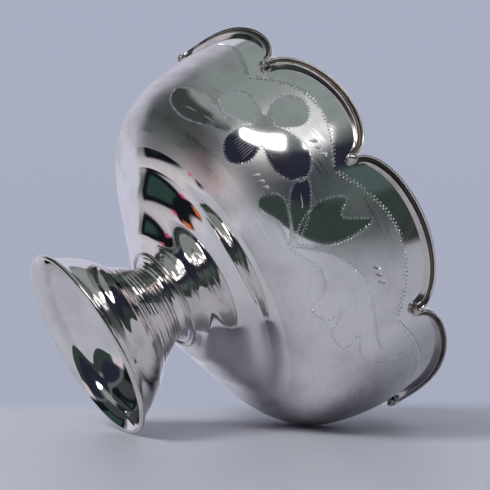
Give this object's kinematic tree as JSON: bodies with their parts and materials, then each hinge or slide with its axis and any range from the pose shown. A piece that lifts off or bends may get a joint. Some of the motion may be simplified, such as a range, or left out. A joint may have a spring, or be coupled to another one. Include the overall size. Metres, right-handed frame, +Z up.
{
  "type": "footed silver bowl with scalloped rim",
  "caption": "Open silver bowl with a lobed, wire-edged rim and engraved sides, on a ribbed stem and a flared hollow foot.",
  "frame": {"origin": "centre of the circle on which the foot stands", "axes": "+Z up along the axis of the bowl, from the foot to the rim; +X points at the middle of one lobe of the rim"},
  "size_m": [0.109, 0.109, 0.0712],
  "materials": {
    "bowl_silver": "sterling silver: satin-brushed sides with bright engraved leaves, mirror-polished underside and inside",
    "foot_silver": "mirror-polished sterling silver with fine spinning ridges on the stem",
    "wire_silver": "polished drawn silver wire",
    "solder_silver": "polished silver solder, slightly darker"
  },
  "bodies": {
    "root": {"bowl_shell": "bowl_silver", "foot_shell": "foot_silver", "foot_wire": "wire_silver", "stem_solder": "solder_silver", "rim_wire_1": "wire_silver", "rim_wire_2": "wire_silver", "rim_wire_3": "wire_silver", "rim_wire_4": "wire_silver", "rim_wire_5": "wire_silver", "rim_wire_6": "wire_silver", "rim_wire_7": "wire_silver", "rim_wire_8": "wire_silver", "rim_solder_1": "solder_silver", "rim_solder_2": "solder_silver", "rim_solder_3": "solder_silver", "rim_solder_4": "solder_silver", "rim_solder_5": "solder_silver", "rim_solder_6": "solder_silver", "rim_solder_7": "solder_silver", "rim_solder_8": "solder_silver"}
  },
  "joints": []
}
